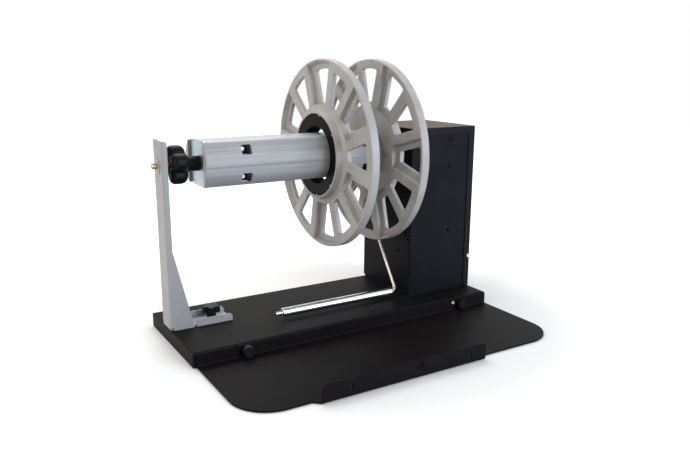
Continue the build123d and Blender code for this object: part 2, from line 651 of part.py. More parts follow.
def expander_block(shift, bore):
    """Carriage inside the frame, cut clear of the screw ports."""
    x0 = BLOCK_LEFT + shift
    x1 = x0 + WEDGE_LENGTH
    body = block(x0, x1, AXIS_Y - 17, AXIS_Y + 17, AXIS_Z - 16.8, AXIS_Z + 16.8)
    for y in (AXIS_Y - 17, AXIS_Y + 14.6):
        body += block(x0, x1, y, y + 2.4, AXIS_Z - 21.4, AXIS_Z + 21.4)
    body -= rod(x0 - 1, x1 + 1, bore)
    for z in (AXIS_Z - 12, AXIS_Z + 12):
        body -= rod(x0 - 1, x1 + 1, 2.5, AXIS_Y, z)
    for z in (AXIS_Z - WEDGE_SCREW_Z, AXIS_Z + WEDGE_SCREW_Z):
        for y in (AXIS_Y - 18, AXIS_Y + 14):
            body -= stub(y, y + 4, 1.5, x0 + WEDGE_SCREW_X, z)
    return body


def front_wedges():
    """Wedge plates screwed to the front of the two carriages."""
    wedges = []
    for shift in (0, BLOCK_PITCH):
        x0 = BLOCK_LEFT + shift
        x1 = x0 + WEDGE_LENGTH
        outline = make_face(Polyline(
            (x0, AXIS_Y - 17), (x0, AXIS_Y - WEDGE_SEAT), (x0 + WEDGE_FLAT, AXIS_Y - WEDGE_SEAT),
            (x1, AXIS_Y - wedge_height(WEDGE_LENGTH)), (x1, AXIS_Y - 17), close=True))
        wedge = extrude(Plane.XY.offset(AXIS_Z) * outline, amount=21.4, both=True)
        for z in (AXIS_Z - WEDGE_SCREW_Z, AXIS_Z + WEDGE_SCREW_Z):
            wedge -= stub(AXIS_Y - 21, AXIS_Y - 16, 1.5, x0 + WEDGE_SCREW_X, z)
        wedges.append(wedge)
    return wedges


def front_wedge_screws():
    """Screws of the front wedges, reached through the shell's windows."""
    screws = []
    for shift in (0, BLOCK_PITCH):
        x = BLOCK_LEFT + WEDGE_SCREW_X + shift
        for z in (AXIS_Z - WEDGE_SCREW_Z, AXIS_Z + WEDGE_SCREW_Z):
            screws.append(front_screw(x, z, AXIS_Y - WEDGE_SEAT, 5.2, 1.5))
    return screws


def expander_rods():
    """Two rods that tie the carriages together."""
    x0 = BLOCK_LEFT - 2
    x1 = BLOCK_LEFT + BLOCK_PITCH + 27
    return [rod(x0, x1, 2.5, AXIS_Y, AXIS_Z - 12), rod(x0, x1, 2.5, AXIS_Y, AXIS_Z + 12)]


def lead_screw():
    """Hollow screw in the knob: it turns in the end plate and draws the carriage."""
    bore = PIN_R + RUN_FIT
    left = KNOB_LEFT + 3
    seat = END_PLATE_X - 0.1
    collar = END_PLATE_X + 2.4
    return turned((
        (left, bore), (left, 6.0), (seat, 6.0), (seat, LEAD_R), (collar, LEAD_R), (collar, 10.5),
        (collar + 3, 10.5), (collar + 3, LEAD_R), (126.0, LEAD_R), (126.0, bore),
    ))


def expansion_knob():
    """Plastic knob with four round lobes, like a pillow, and its stem."""
    centres = [around(KNOB_LOBE_OUT, 0, 90 * i - KNOB_TURN) for i in range(4)]
    lobes = [Pos(*centre) * Circle(KNOB_LOBE_R) for centre in centres]
    outline = offset(offset(Circle(12.0) + lobes, 3.0), -3.0)
    cap = extrude(across(KNOB_LEFT) * outline, amount=KNOB_RIGHT - KNOB_LEFT)
    cap = fillet(cap.faces().sort_by(Axis.X)[-1].edges(), 9.0)
    cap = fillet(cap.faces().sort_by(Axis.X)[0].edges(), 6.0)
    stem_end = END_PLATE_X - 0.3
    stem = rod(KNOB_RIGHT, stem_end, KNOB_STEM_R)
    knob = cap + rod(KNOB_RIGHT - 1, KNOB_RIGHT + 2.5, KNOB_STEM_R + 0.6) + stem
    knob -= rod(KNOB_LEFT - 1, KNOB_LEFT + 1.9, 10.5)
    return knob - rod(KNOB_LEFT, stem_end + 1, 6.0)


# ---------------------------------------------------------------- drag brake and crank

def drag_washer():
    """Felt washer against the right bearing housing."""
    return turned(((DRAG_X, 6.4), (DRAG_X, 14.0), (DRAG_X + 2.9, 14.0), (DRAG_X + 2.9, 6.4)))


def drag_spring():
    """Cone washer that presses the felt."""
    x0 = DRAG_X + 3.0
    return turned((
        (x0, 6.4), (x0, 7.0), (x0 + 1.9, 13.5), (x0 + 2.6, 13.5), (x0 + 0.9, 7.0), (x0 + 0.9, 6.4),
    ))


def shaft_collar():
    """Clamp collar on the shaft that loads the drag washer."""
    x0 = DRAG_X + 5.9
    collar = turned(((x0, SHAFT_R), (x0, 14.0), (x0 + 10, 14.0), (x0 + 10, SHAFT_R)))
    return collar - block(x0 - 1, x0 + 11, AXIS_Y - 0.8, AXIS_Y + 0.8, AXIS_Z, AXIS_Z + 16)


def crank_arm():
    """Flat steel arm with a turned boss, pointing back."""
    boss = turned(((450.5, SHAFT_R), (450.5, 11.0), (SHAFT_END, 11.0), (SHAFT_END, SHAFT_R)))
    outline = Pos(CRANK_THROW / 2, 0) * SlotOverall(CRANK_THROW + 20, 20)
    outline -= Pos(CRANK_THROW, 0) * Circle(4.0)
    outline -= Circle(SHAFT_R)
    return boss + extrude(across(456.5) * outline, amount=5.5)


def crank_bolt():
    """Hexagon bolt and washer in the shaft's end."""
    washer = turned(((SHAFT_END, 0), (SHAFT_END, 8.5), (SHAFT_END + 1.4, 8.5), (SHAFT_END + 1.4, 0)))
    head = extrude(across(SHAFT_END + 1.4) * RegularPolygon(5.7, 6), amount=4.0)
    return washer + head + rod(SHAFT_END - 12, SHAFT_END, 3.0)


def crank_grip_pin():
    """Shoulder pin of the grip, with its head outside and a nut behind the arm."""
    y = AXIS_Y + CRANK_THROW
    pin = turned((
        (453.0, 0), (453.0, 4.0), (GRIP_END + 0.3, 4.0), (GRIP_END + 0.3, 6.5),
        (CRANK_OUT - 1, 6.5), (CRANK_OUT, 5.5), (CRANK_OUT, 0),
    ), y)
    nut = Pos(0, CRANK_THROW, 0) * extrude(across(453.4) * RegularPolygon(6.9, 6), amount=3.1)
    return pin + nut


def crank_grip():
    """Turned plastic grip that spins on its pin."""
    y = AXIS_Y + CRANK_THROW
    bore = 4.0 + RUN_FIT
    neck = (GRIP_START, 7.5)
    outline = Polyline((GRIP_START, bore), neck)
    swell = Spline(neck, (GRIP_START + 14, 10.2), (GRIP_START + 40, 12.5), (GRIP_END - 6, 11.4), (GRIP_END, 8.0))
    closing = Polyline((GRIP_END, 8.0), (GRIP_END, bore), (GRIP_START, bore))
    face = make_face(outline + swell + closing)
    return Pos(0, y, AXIS_Z) * revolve(face, Axis.X, 360)


# ---------------------------------------------------------------- support column

def support_column():
    """U channel with tapered sides on a slotted foot, folded from one sheet."""
    y0 = AXIS_Y - COLUMN_HALF
    y1 = AXIS_Y + COLUMN_HALF
    floor = BASE_TOP
    sheet = COLUMN_SHEET
    channel = block(0, 40, y0, y1, floor + sheet, COLUMN_TOP)
    channel = fillet(channel.edges().filter_by(Axis.Z).group_by(Axis.X)[0], 3.0)
    channel -= block(sheet, 41, y0 + sheet, y1 - sheet, floor, COLUMN_TOP + 1)
    side = make_face(Polyline(
        (0, floor + sheet), (30.5, floor + sheet), (7.2, 122.0), (7.2, COLUMN_TOP), (0, COLUMN_TOP), close=True))
    side = fillet(side.vertices().group_by(Axis.Y)[-1].sort_by(Axis.X)[-1:], 3.6)
    elevation = Plane(origin=(0, y0 - 1, 0), x_dir=(1, 0, 0), z_dir=(0, -1, 0))
    channel &= extrude(elevation * side, amount=-2 * COLUMN_HALF - 2)
    foot = block(0, FOOT_END, y0, y1, floor, floor + sheet)
    foot = fillet(foot.edges().filter_by(Axis.Y).group_by(Axis.X)[0].group_by(Axis.Z)[0], 1.8)
    lip = Pos((34 + FOOT_END) / 2, floor + 4.75) * Rectangle(FOOT_END - 34, 9.5)
    lip = fillet(lip.vertices().group_by(Axis.Y)[-1], 4.5)
    lips = []
    for y in (y0, y1 - sheet):
        plane = Plane(origin=(0, y, 0), x_dir=(1, 0, 0), z_dir=(0, -1, 0))
        lips.append(extrude(plane * lip, amount=-sheet))
    column = channel + foot + lips
    slot_start = FOOT_KNOB_X - 5.5
    slot_end = FOOT_KNOB_X + COLUMN_TRAVEL + 3.6
    slot = Pos((slot_start + slot_end) / 2, AXIS_Y) * SlotOverall(slot_end - slot_start, 6.8)
    column -= extrude(Plane.XY.offset(floor - 1) * slot, amount=5)
    for y in (y0 - 1, y1 - 3.6):
        column -= block(-1, 4.2, y, y + 4.6, floor - 1, floor + 4.0)
        column -= block(30.5, 34, y + (1 if y > AXIS_Y else -1), y + (6 if y > AXIS_Y else 3.6), floor - 1, floor + 4)
    return column - rod(-1, 4, 6.5)


def column_bush():
    """Flanged bush that carries the spindle's pin."""
    bore = PIN_R + RUN_FIT
    return turned(((-1.0, bore), (-1.0, 8.8), (-0.6, 9.2), (0, 9.2), (0, 6.5), (5.0, 6.5), (5.0, bore)))


def foot_knob():
    """Five-lobed clamp knob on the column's foot."""
    outline = Circle(11.8) - [Pos(*around(13.6, 0, 72 * i)) * Circle(5.0) for i in range(5)]
    outline = fillet(outline.vertices(), 1.5)
    cap = Pos(FOOT_KNOB_X, AXIS_Y, 30.5) * extrude(outline, amount=8.0)
    cap = chamfer(cap.faces().sort_by(Axis.Z)[-1].edges(), 0.9)
    hub = post(23.2, 31.0, 6.2, FOOT_KNOB_X, AXIS_Y)
    return cap + hub - post(20, 34, 3.0, FOOT_KNOB_X, AXIS_Y)


def foot_stud():
    """Threaded stud of the clamp knob, with its washer."""
    stud = post(10.0, 34.0, 3.0, FOOT_KNOB_X, AXIS_Y)
    washer = post(21.6, 23.2, 8.0, FOOT_KNOB_X, AXIS_Y)
    return stud + washer


# ---------------------------------------------------------------- tension arm and roller

def arm_rod():
    """One bent rod: arm from the pivot hub, then the roller's axle."""
    path = FilletPolyline(
        (ARM_X, PIVOT_Y, PIVOT_Z), (ARM_X, ROLLER_Y, ROLLER_Z), (ARM_TIP, ROLLER_Y, ROLLER_Z), radius=8.0)
    start = Plane(origin=path @ 0, z_dir=path % 0)
    bent = sweep(start * Circle(ARM_R), path=path)
    return bent - rod(ARM_X - 6, ARM_X + 6, PIVOT_R, PIVOT_Y, PIVOT_Z)


def arm_hub():
    """Turned hub of the arm, with the spacer that keeps it off the tower."""
    hub = turned((
        (315.8, PIVOT_R), (315.8, 8.2), (316.6, 9.0), (328.0, 9.0), (328.0, 6.5), (334.0, 6.5), (334.0, PIVOT_R),
    ), PIVOT_Y, PIVOT_Z)
    path = Polyline((ARM_X, PIVOT_Y, PIVOT_Z), (ARM_X, ROLLER_Y, ROLLER_Z))
    hole = sweep(Plane(origin=path @ 0, z_dir=path % 0) * Circle(ARM_R), path=path)
    return hub - hole


def arm_pivot_shaft():
    """Pin through the tower's left wall that the arm turns on."""
    return turned((
        (314.6, 0), (314.6, PIVOT_R - 1.2), (315.8, PIVOT_R), (362.0, PIVOT_R), (362.0, 0),
    ), PIVOT_Y, PIVOT_Z)


def arm_bush():
    """Flanged bush in the left wall."""
    bore = PIVOT_R + RUN_FIT
    return turned((
        (334.3, bore), (334.3, 9.0), (TOWER_LEFT, 9.0), (TOWER_LEFT, 6.0), (346.0, 6.0), (346.0, bore),
    ), PIVOT_Y, PIVOT_Z)


def arm_lever():
    """Lever inside the tower that stops the arm at its lowest place."""
    outline = Pos(0, 13) * Rot(0, 0, 90) * SlotOverall(40, 12) - Circle(PIVOT_R)
    plane = Plane(origin=(347.0, PIVOT_Y, PIVOT_Z), x_dir=(0, 1, 0), z_dir=(1, 0, 0))
    return extrude(plane * outline, amount=3.0)


def arm_stops():
    """Two pins riveted to the left wall, one for each end of the arm's travel."""
    pins = []
    reach = 22.0
    for angle, side in ((0, -1), (40, 1)):
        offset = side * (6.0 + 2.5 + 0.15)
        c = cos(radians(angle))
        s = sin(radians(angle))
        y = PIVOT_Y + reach * s + offset * c
        z = PIVOT_Z + reach * c - offset * s
        pins.append(rod(TOWER_LEFT + SHEET, 352.0, 2.5, y, z))
    return pins


def arm_spring():
    """Torsion spring on the pivot, inside the tower, drawn as its sleeve of turns."""
    return turned(((350.2, 5.0), (350.2, 7.0), (358.0, 7.0), (358.0, 5.0)), PIVOT_Y, PIVOT_Z)


def arm_clips():
    """Push-on clips: one on the pivot's inner end and one at each end of the roller."""
    clips = [turned(((358.4, PIVOT_R), (358.4, 7.5), (359.6, 7.5), (359.6, PIVOT_R)), PIVOT_Y, PIVOT_Z)]
    for x0 in (ROLLER_LEFT - 1.8, ROLLER_RIGHT + 0.2):
        clips.append(turned(((x0, ARM_R), (x0, 3.9), (x0 + 1.1, 3.9), (x0 + 1.1, ARM_R)), ROLLER_Y, ROLLER_Z))
    return clips


def roller_tube():
    """Polished steel tube."""
    tube = turned((
        (ROLLER_LEFT, 4.6), (ROLLER_LEFT, ROLLER_R - 0.5), (ROLLER_LEFT + 0.5, ROLLER_R),
        (ROLLER_RIGHT - 0.5, ROLLER_R), (ROLLER_RIGHT, ROLLER_R - 0.5), (ROLLER_RIGHT, 4.6),
    ), ROLLER_Y, ROLLER_Z)
    return tube


def roller_bushes():
    """Plastic bushes pressed in the tube's ends."""
    bushes = []
    for x0 in (ROLLER_LEFT + 0.4, ROLLER_RIGHT - 10.4):
        bushes.append(turned((
            (x0, ARM_R + RUN_FIT), (x0, 4.6), (x0 + 10, 4.6), (x0 + 10, ARM_R + RUN_FIT),
        ), ROLLER_Y, ROLLER_Z))
    return bushes


# ---------------------------------------------------------------- the whole object

def pieces():
    """Every node of the object with its solids."""
    shell_pads = ramp_pads()
    wedges = front_wedges()
    wedge_screws = front_wedge_screws()
    rivets = front_rivets()
    return {
        "base_tray": base_tray(),
        "rubber_feet": rubber_feet(),
        "docking_plate": docking_plate(),
        "tray_inserts": tray_inserts(),
        "thumb_screw_left": thumb_screw(THUMB_X[0]),
        "thumb_screw_right": thumb_screw(THUMB_X[1]),
        "tower_housing": tower_housing(),
        "tower_cover": tower_cover(),
        "panel_screws": panel_screws(),
        "tower_screws": tower_screws(),
        "bracket_screws": bracket_screws(),
        "bearing_bracket": bearing_bracket(),
        "left_bearing_housing": bearing_housing(TOWER_LEFT + SHEET, 1),
        "right_bearing_housing": bearing_housing(400.0, 1),
        "housing_screws": housing_screws(),
        "left_bearing": bearing(TOWER_LEFT + SHEET + 4.5),
        "right_bearing": bearing(404.5),
        "spindle_shaft": spindle_shaft(),
        "drive_hub": drive_hub(),
        "hub_set_screw": hub_set_screw(),
        "outer_flange": outer_flange(),
        "outer_flange_insert": outer_flange_insert(),
        "inner_flange": inner_flange(),
        "inner_flange_screws": inner_flange_screws(),
        "core_frame": core_frame(),
        "end_plate": end_plate(),
        "end_plate_rivets": rivets + to_the_back(rivets),
        "frame_screws": frame_screws(),
        "front_shell": front_shell(),
        "rear_shell": to_the_back([front_shell()]),
        "front_ramp_pads": shell_pads,
        "rear_ramp_pads": to_the_back(shell_pads),
        "threaded_carriage": expander_block(0, 8.0 + RUN_FIT),
        "plain_carriage": expander_block(BLOCK_PITCH, SHAFT_R + RUN_FIT),
        "wedges": wedges + to_the_back(wedges),
        "wedge_screws": wedge_screws + to_the_back(wedge_screws),
        "carriage_rods": expander_rods(),
        "lead_screw": lead_screw(),
        "expansion_knob": expansion_knob(),
        "drag_washer": drag_washer(),
        "drag_spring": drag_spring(),
        "shaft_collar": shaft_collar(),
        "crank_arm": crank_arm(),
        "crank_bolt": crank_bolt(),
        "crank_grip_pin": crank_grip_pin(),
        "crank_grip": crank_grip(),
        "support_column": support_column(),
        "column_bush": column_bush(),
        "foot_knob": foot_knob(),
        "foot_stud": foot_stud(),
        "arm_rod": arm_rod(),
        "arm_hub": arm_hub(),
        "arm_pivot": arm_pivot_shaft(),
        "arm_clips": arm_clips(),
        "arm_bush": arm_bush(),
        "arm_lever": arm_lever(),
        "arm_spring": arm_spring(),
        "arm_stops": arm_stops(),
        "roller_tube": roller_tube(),
        "roller_bushes": roller_bushes(),
    }


def write_parts():
    """Move every node to the object's own origin and write it."""
    middle_x = (PIN_TIP + CRANK_OUT) / 2
    middle_y = (LIP_FACE + AXIS_Y + FLANGE_R) / 2
    os.makedirs("parts", exist_ok=True)
    for name, solids in pieces().items():
        group = solids if isinstance(solids, list) else [solids]
        moved = [Pos(-middle_x, -middle_y, 0) * solid for solid in group]
        whole = moved[0] if len(moved) == 1 else Compound(children=moved)
        export_step(whole, os.path.join("parts", name + ".step"))


write_parts()
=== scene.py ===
from math import cos, radians, sin

import bpy
from mathutils import Matrix, Vector

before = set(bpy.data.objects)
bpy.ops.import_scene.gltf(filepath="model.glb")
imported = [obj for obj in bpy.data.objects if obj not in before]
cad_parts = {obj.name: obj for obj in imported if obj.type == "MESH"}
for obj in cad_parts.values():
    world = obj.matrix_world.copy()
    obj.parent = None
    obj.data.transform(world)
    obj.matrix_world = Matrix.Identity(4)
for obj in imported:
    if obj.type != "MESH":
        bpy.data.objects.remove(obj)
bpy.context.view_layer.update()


# ------------------------------------------------------------------ table and room
# A white table top, painted matt, under the object. To the camera it glows, more so away from the
# object, so that it runs into the white room without a line, and less so close to the object, where
# an ambient occlusion term dims the glow further: a painted contact shadow.
TABLE_REACH = 3.0
TABLE_GLOW = 0.50
TABLE_GLOW_FAR = 1.0
CLEAR_OF_OBJECT = 0.50
CONTACT_SHADE = 0.20
TABLE_PAINT = 0.50
TABLE_ROUGHNESS = 0.9
WHITE = (1, 1, 1, 1)
SKY_LIGHT = 0.36


def node_material(name):
    material = bpy.data.materials.new(name)
    material.use_nodes = True
    shader = material.node_tree.nodes["Principled BSDF"]
    return material, material.node_tree.nodes, material.node_tree.links, shader


def math_node(nodes, links, operation, first, second):
    node = nodes.new("ShaderNodeMath")
    node.operation = operation
    for socket, value in zip(node.inputs, (first, second)):
        if isinstance(value, (int, float)):
            socket.default_value = value
        else:
            links.new(value, socket)
    return node.outputs[0]


def span_node(nodes, links, factor, low, high, start=0.0, end=1.0):
    span = nodes.new("ShaderNodeMapRange")
    span.inputs["From Min"].default_value = start
    span.inputs["From Max"].default_value = end
    span.inputs["To Min"].default_value = low
    span.inputs["To Max"].default_value = high
    links.new(factor, span.inputs["Value"])
    return span.outputs["Result"]


def seen_ray(nodes, links):
    path = nodes.new("ShaderNodeLightPath")
    camera_ray = path.outputs["Is Camera Ray"]
    seen = math_node(nodes, links, "MAXIMUM", camera_ray, path.outputs["Is Glossy Ray"])
    return math_node(nodes, links, "MAXIMUM", seen, path.outputs["Is Transmission Ray"])


def table():
    reach = TABLE_REACH
    mesh = bpy.data.meshes.new("table_top")
    corners = [(-reach, -reach, 0), (reach, -reach, 0), (reach, reach, 0), (-reach, reach, 0)]
    mesh.from_pydata(corners, [], [(0, 1, 2, 3)])
    top = bpy.data.objects.new("table_top", mesh)
    bpy.context.scene.collection.objects.link(top)
    material, nodes, links, shader = node_material("table_white")
    shader.inputs["Base Color"].default_value = (TABLE_PAINT, TABLE_PAINT, TABLE_PAINT, 1)
    shader.inputs["Roughness"].default_value = TABLE_ROUGHNESS
    shader.inputs["Specular IOR Level"].default_value = 0.0
    shader.inputs["Emission Color"].default_value = WHITE
    place = nodes.new("ShaderNodeTexCoord").outputs["Object"]
    away = nodes.new("ShaderNodeVectorMath")
    away.operation = "LENGTH"
    links.new(place, away.inputs[0])
    glow = span_node(nodes, links, away.outputs["Value"], TABLE_GLOW, TABLE_GLOW_FAR,
                     0.5 * CLEAR_OF_OBJECT, CLEAR_OF_OBJECT)
    # Painted contact shadow: ambient occlusion dims the table's glow next to the object.
    painted_contact_shadow = nodes.new("ShaderNodeAmbientOcclusion")
    painted_contact_shadow.inputs["Distance"].default_value = CONTACT_SHADE
    glow = math_node(nodes, links, "MULTIPLY", glow, painted_contact_shadow.outputs["AO"])
    glow = math_node(nodes, links, "MULTIPLY", glow, seen_ray(nodes, links))
    links.new(glow, shader.inputs["Emission Strength"])
    mesh.materials.append(material)
    return top


def room():
    world = bpy.data.worlds.new("white_room")
    bpy.context.scene.world = world
    world.use_nodes = True
    nodes, links = world.node_tree.nodes, world.node_tree.links
    sky = nodes["Background"]
    sky.inputs["Color"].default_value = WHITE
    links.new(span_node(nodes, links, seen_ray(nodes, links), SKY_LIGHT, 1.0), sky.inputs["Strength"])


table()
room()


# ------------------------------------------------------------------ lamps
# Three soft boxes: one above and behind, which throws the short shadow to the front, a warm one on
# the left for the flanges' faces, and a cool one in front, to the right, for the rims and shells.
def soft_lamp(name, place, aim, width, power, colour):
    lamp = bpy.data.lights.new(name, "AREA")
    lamp.shape = "SQUARE"
    lamp.size = width
    lamp.energy = power
    lamp.color = colour
    holder = bpy.data.objects.new(name, lamp)
    bpy.context.scene.collection.objects.link(holder)
    holder.location = place
    holder.rotation_euler = (Vector(aim) - Vector(place)).to_track_quat("-Z", "Y").to_euler()


soft_lamp("lamp_above", place=(0.1, 1.0, 1.6), aim=(0, 0, 0),
          width=1.2, power=20.0, colour=(1.0, 0.98, 0.95))
soft_lamp("lamp_left", place=(-2.2, 0.1, 0.9), aim=(0, 0, 0.2),
          width=1.3, power=20.0, colour=(1.0, 0.95, 0.87))
soft_lamp("lamp_front", place=(0.8, -2.3, 0.8), aim=(0, 0, 0.18),
          width=1.2, power=50.0, colour=(0.76, 0.85, 1.0))


# ------------------------------------------------------------------ base tray
# Tray of 1.5 mm steel sheet, folded down on four sides and powder coated black with a fine orange
# peel. It stands on thin pads of black rubber, stuck to its flanges and to the docking plate.
TRAY_DARK = (0.0055, 0.0048, 0.0044)
TRAY_LIGHT = (0.0085, 0.0074, 0.0068)
RUBBER_DARK = (0.016, 0.016, 0.016)
RUBBER_LIGHT = (0.028, 0.028, 0.028)
COAT_PATCH = 0.03
COAT_PEEL = 0.0007
COAT_EDGE = 0.0007
PLASTIC_PATCH = 0.02
PLASTIC_EDGE = 0.0005


def surface_place(nodes, links, stretch=(1, 1, 1)):
    coordinates = nodes.new("ShaderNodeTexCoord")
    mapping = nodes.new("ShaderNodeMapping")
    mapping.inputs["Scale"].default_value = stretch
    links.new(coordinates.outputs["Object"], mapping.inputs["Vector"])
    return mapping.outputs["Vector"]


def cloud(nodes, links, place, size, detail=2.0):
    noise = nodes.new("ShaderNodeTexNoise")
    noise.inputs["Scale"].default_value = 1.0 / size
    noise.inputs["Detail"].default_value = detail
    links.new(place, noise.inputs["Vector"])
    return noise.outputs["Fac"]


def two_tone(nodes, links, factor, dark, light, start=0.3, end=0.7):
    ramp = nodes.new("ShaderNodeValToRGB")
    ramp.color_ramp.elements[0].position = start
    ramp.color_ramp.elements[0].color = (*dark, 1)
    ramp.color_ramp.elements[1].position = end
    ramp.color_ramp.elements[1].color = (*light, 1)
    links.new(factor, ramp.inputs["Fac"])
    return ramp.outputs["Color"]


def raised(nodes, links, shader, height, strength, depth, edge):
    corners = nodes.new("ShaderNodeBevel")
    corners.samples = 4
    corners.inputs["Radius"].default_value = edge
    bump = nodes.new("ShaderNodeBump")
    bump.inputs["Strength"].default_value = strength
    bump.inputs["Distance"].default_value = depth
    links.new(height, bump.inputs["Height"])
    links.new(corners.outputs["Normal"], bump.inputs["Normal"])
    links.new(bump.outputs["Normal"], shader.inputs["Normal"])


def powder_coat(name, dark, light, roughness, shine, strength=0.30):
    material, nodes, links, shader = node_material(name)
    place = surface_place(nodes, links)
    patches = cloud(nodes, links, place, COAT_PATCH, 4.0)
    links.new(two_tone(nodes, links, patches, dark, light), shader.inputs["Base Color"])
    peel = cloud(nodes, links, place, COAT_PEEL, 3.0)
    links.new(span_node(nodes, links, peel, roughness - 0.06, roughness + 0.08), shader.inputs["Roughness"])
    shader.inputs["Specular IOR Level"].default_value = shine
    raised(nodes, links, shader, peel, strength, 0.0004, COAT_EDGE)
    return material


def moulded_plastic(name, dark, light, roughness, shine=0.5, grain=0.0009, strength=0.15):
    material, nodes, links, shader = node_material(name)
    place = surface_place(nodes, links)
    patches = cloud(nodes, links, place, PLASTIC_PATCH, 3.0)
    links.new(two_tone(nodes, links, patches, dark, light), shader.inputs["Base Color"])
    texture = cloud(nodes, links, place, grain, 2.0)
    uneven = span_node(nodes, links, texture, roughness - 0.05, roughness + 0.07)
    links.new(uneven, shader.inputs["Roughness"])
    shader.inputs["Specular IOR Level"].default_value = shine
    raised(nodes, links, shader, texture, strength, 0.0003, PLASTIC_EDGE)
    return material


def dress(material, *names):
    for name in names:
        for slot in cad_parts[name].material_slots:
            slot.material = material


tray_black = powder_coat("tray_black", TRAY_DARK, TRAY_LIGHT, roughness=0.52, shine=0.06)
foot_rubber = moulded_plastic("foot_rubber", RUBBER_DARK, RUBBER_LIGHT, roughness=0.8, shine=0.3)
dress(tray_black, "base_tray")
dress(foot_rubber, "rubber_feet")


# ------------------------------------------------------------------ docking plate
# One piece of 2 mm steel sheet with a rear flange and a front lip, in the same black coat, a little
# smoother. Two fluted thumb screws of black plastic on steel studs hold it to the tray's inserts.
PLATE_DARK = (0.0050, 0.0040, 0.0043)
PLATE_LIGHT = (0.0075, 0.0060, 0.0063)
THUMB_DARK = (0.006, 0.006, 0.007)
THUMB_LIGHT = (0.010, 0.010, 0.011)
ZINC_DARK = (0.50, 0.53, 0.58)
ZINC_LIGHT = (0.68, 0.72, 0.78)
METAL_MARK = 0.004
METAL_EDGE = 0.0004


def plated_metal(name, dark, light, roughness, along=(1, 1, 1)):
    material, nodes, links, shader = node_material(name)
    marks = cloud(nodes, links, surface_place(nodes, links, along), METAL_MARK, 5.0)
    links.new(two_tone(nodes, links, marks, dark, light), shader.inputs["Base Color"])
    shader.inputs["Metallic"].default_value = 1.0
    links.new(span_node(nodes, links, marks, roughness - 0.06, roughness + 0.10), shader.inputs["Roughness"])
    raised(nodes, links, shader, marks, 0.08, 0.0002, METAL_EDGE)
    return material


plate_black = powder_coat("plate_black", PLATE_DARK, PLATE_LIGHT, roughness=0.48, shine=0.06, strength=0.20)
thumb_black = moulded_plastic("thumb_black", THUMB_DARK, THUMB_LIGHT, roughness=0.38, shine=0.15)
dress(plate_black, "docking_plate")
dress(thumb_black, "thumb_screw_left", "thumb_screw_right")
zinc = plated_metal("zinc_plate", ZINC_DARK, ZINC_LIGHT, roughness=0.30)
dress(zinc, "tray_inserts")


# ------------------------------------------------------------------ tower
# Folded steel housing under a cover in one sheet, both powder coated black and a little bluer than
# the tray. Its thin gloss shows the room at a flat angle, and the cover's top is painted light brown
# as a painted reflection of warm light at that flat angle.
TOWER_DARK = (0.0048, 0.0050, 0.0078)
TOWER_LIGHT = (0.0076, 0.0078, 0.0115)
COVER_COAT = 0.08
COVER_COAT_ROUGHNESS = 0.30
COVER_TOP_PAINTED_REFLECTION = (0.075, 0.048, 0.026)
PAINTED_REFLECTION_FROM = 0.7
PAINTED_REFLECTION_FULL = 0.95


def coated_cover():
    material = powder_coat("cover_black", TOWER_DARK, TOWER_LIGHT, roughness=0.45, shine=0.06)
    nodes, links = material.node_tree.nodes, material.node_tree.links
    shader = nodes["Principled BSDF"]
    shader.inputs["Coat Weight"].default_value = COVER_COAT
    shader.inputs["Coat Roughness"].default_value = COVER_COAT_ROUGHNESS
    paint = shader.inputs["Base Color"].links[0].from_socket
    # Painted reflection: faces turned up are blended towards light brown in the base colour.
    parts = nodes.new("ShaderNodeSeparateXYZ")
    links.new(nodes.new("ShaderNodeNewGeometry").outputs["Normal"], parts.inputs["Vector"])
    painted_reflection = nodes.new("ShaderNodeMix")
    painted_reflection.data_type = "RGBA"
    painted_reflection.inputs["B"].default_value = (*COVER_TOP_PAINTED_REFLECTION, 1)
    facing_up = span_node(nodes, links, parts.outputs["Z"], 0.0, 1.0, PAINTED_REFLECTION_FROM, PAINTED_REFLECTION_FULL)
    links.new(facing_up, painted_reflection.inputs["Factor"])
    links.new(paint, painted_reflection.inputs["A"])
    links.new(painted_reflection.outputs["Result"], shader.inputs["Base Color"])
    return material


tower_black = powder_coat("tower_black", TOWER_DARK, TOWER_LIGHT, roughness=0.50, shine=0.07)
dress(tower_black, "tower_housing", "bracket_screws")
dress(coated_cover(), "tower_cover")
dress(zinc, "panel_screws", "tower_screws")


# ------------------------------------------------------------------ bearings and drag brake
# Inside the tower: a folded zinc plated bracket, two cast bearing housings with ground steel
# bearings, and a felt washer pressed by a steel cone washer and a clamp collar on the shaft.
CAST_DARK = (0.50, 0.50, 0.52)
CAST_LIGHT = (0.62, 0.62, 0.64)
STEEL_DARK = (0.42, 0.38, 0.34)
STEEL_LIGHT = (0.58, 0.54, 0.49)
FELT_DARK = (0.38, 0.36, 0.31)
FELT_LIGHT = (0.50, 0.48, 0.42)
cast_metal = plated_metal("cast_metal", CAST_DARK, CAST_LIGHT, roughness=0.42)
ground_steel = plated_metal("ground_steel", STEEL_DARK, STEEL_LIGHT, roughness=0.28)
felt = moulded_plastic("felt", FELT_DARK, FELT_LIGHT, roughness=0.95, shine=0.2, grain=0.0006, strength=0.6)
dress(zinc, "bearing_bracket", "housing_screws", "shaft_collar")
dress(cast_metal, "left_bearing_housing", "right_bearing_housing")
dress(ground_steel, "left_bearing", "right_bearing", "drag_spring")
dress(felt, "drag_washer")


# ------------------------------------------------------------------ spindle shaft and drive hub
# A ground steel shaft whose warm coloured pin runs in the column's bush, and a turned aluminium hub
# that carries the inner flange and the core holder, held by a set screw, frame and flange screws.
PIN_DARK = (0.30, 0.22, 0.14)
PIN_LIGHT = (0.46, 0.35, 0.23)
dress(plated_metal("pin_bronze", PIN_DARK, PIN_LIGHT, roughness=0.34), "spindle_shaft")
dress(cast_metal, "drive_hub")
dress(zinc, "hub_set_screw", "frame_screws")
dress(ground_steel, "inner_flange_screws")


